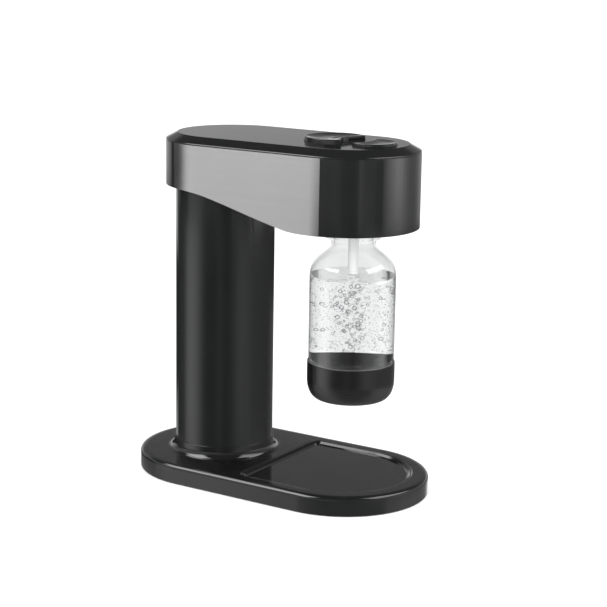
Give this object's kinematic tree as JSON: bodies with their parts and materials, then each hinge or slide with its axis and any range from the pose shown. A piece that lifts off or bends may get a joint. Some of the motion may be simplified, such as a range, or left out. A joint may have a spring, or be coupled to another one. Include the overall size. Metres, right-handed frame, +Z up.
{
  "type": "sparkling water maker",
  "caption": "Manual sparkling water maker: stadium base with drip tray, round column for a gas cylinder, long head with press buttons and steel side panels, and a screw-in bottle below.",
  "frame": {"origin": "centre of the footprint, on the surface that the feet stand on", "axes": "+Z up, -Y towards the front where the bottle hangs, +Y towards the column and the gas cylinder, +X to the right as seen from the front"},
  "size_m": [0.1982, 0.3632, 0.4053],
  "materials": {
    "gloss_black": "high-gloss black moulded plastic",
    "satin_black": "satin black moulded plastic",
    "inner_plastic": "matt dark grey moulded plastic",
    "steel_panel": "fine satin stainless sheet",
    "steel_parts": "plain steel, zinc plated",
    "brass": "turned brass",
    "rubber": "matt black rubber",
    "white_plastic": "milky white food-safe plastic",
    "clear_plastic": "clear moulded bottle plastic",
    "water": "still water surface with bubbles below",
    "cylinder_paint": "grey enamel on steel"
  },
  "bodies": {
    "machine": {"base_housing": "gloss_black", "base_bottom_plate": "inner_plastic", "foot_front_left": "rubber", "foot_front_right": "rubber", "foot_rear_left": "rubber", "foot_rear_right": "rubber", "base_screw_rear_right": "steel_parts", "base_screw_rear_left": "steel_parts", "base_screw_front_right": "steel_parts", "base_screw_front_left": "steel_parts", "column_shell": "satin_black", "column_frame": "inner_plastic", "frame_screw_left": "steel_parts", "frame_screw_right": "steel_parts", "cylinder_rest_pad": "rubber", "head_housing": "gloss_black", "side_panel_left": "steel_panel", "side_panel_right": "steel_panel", "head_top_cover": "gloss_black", "mechanism_plate": "inner_plastic", "mechanism_screw_rear_right": "steel_parts", "mechanism_screw_rear_left": "steel_parts", "mechanism_screw_front_right": "steel_parts", "mechanism_screw_front_left": "steel_parts", "button_spring_left": "steel_parts", "button_spring_right": "steel_parts", "release_spring": "steel_parts", "lever_bracket": "steel_parts", "lever_pin": "steel_parts", "valve_block": "brass", "valve_seal": "rubber", "gas_pipe": "steel_parts", "carbonation_head": "inner_plastic", "relief_valve": "brass", "bottle_socket": "inner_plastic", "bottle_gasket": "rubber", "nozzle_tube": "white_plastic", "nozzle_jet": "white_plastic"},
    "drip_tray": {"drip_tray": "gloss_black"},
    "rear_cover": {"rear_cover": "satin_black"},
    "carbonation_button": {"carbonation_button": "gloss_black"},
    "release_button": {"release_button": "gloss_black"},
    "push_lever": {"push_lever": "steel_parts"},
    "valve_pin": {"valve_pin": "steel_parts"},
    "vent_stem": {"vent_stem": "white_plastic"},
    "gas_cylinder": {"gas_cylinder": "cylinder_paint", "cylinder_valve": "brass"},
    "bottle": {"bottle_shell": "clear_plastic", "bottle_base_cup": "gloss_black", "bottle_water": "water"}
  },
  "joints": [
    {"name": "carbonation_press", "type": "slide", "parent": "machine", "child": "carbonation_button", "axis": [0, 0, -1], "range_m": [0, 0.0052], "stiffness_N_per_m": 500, "springref_m": -0.006, "deforming": ["button_spring_left", "button_spring_right"]},
    {"name": "lever_rock", "type": "hinge", "parent": "machine", "child": "push_lever", "pos_m": [0, 0.118, 0.381], "axis": [1, 0, 0], "range_deg": [0, 1.7]},
    {"name": "valve_pin_push", "type": "slide", "parent": "machine", "child": "valve_pin", "axis": [0, 0, -1], "range_m": [0, 0.0012]},
    {"name": "release_press", "type": "slide", "parent": "machine", "child": "release_button", "axis": [0, 0, -1], "range_m": [0, 0.003], "stiffness_N_per_m": 500, "springref_m": -0.006, "deforming": ["release_spring"]},
    {"name": "vent_stem_push", "type": "slide", "parent": "machine", "child": "vent_stem", "axis": [0, 0, -1], "range_m": [0, 0.0031]},
    {"name": "bottle_lower", "type": "slide", "parent": "machine", "child": "bottle", "axis": [0, 0, -1], "range_m": [0, 0.081]},
    {"name": "tray_lift", "type": "slide", "parent": "machine", "child": "drip_tray", "axis": [0, 0, 1], "range_m": [0, 0.0075]},
    {"name": "cover_pull", "type": "slide", "parent": "machine", "child": "rear_cover", "axis": [0, 1, 0], "range_m": [0, 0.06]},
    {"name": "cylinder_turn", "type": "hinge", "parent": "machine", "child": "gas_cylinder", "pos_m": [0, 0.08245, 0.2], "axis": [0, 0, -1], "range_deg": [0, 900]}
  ],
  "couplings": [
    {"joint": "lever_rock", "follows": "carbonation_press", "rad_per_m": 5.4496},
    {"joint": "valve_pin_push", "follows": "carbonation_press", "ratio": 0.1937},
    {"joint": "vent_stem_push", "follows": "release_press", "ratio": 1}
  ]
}
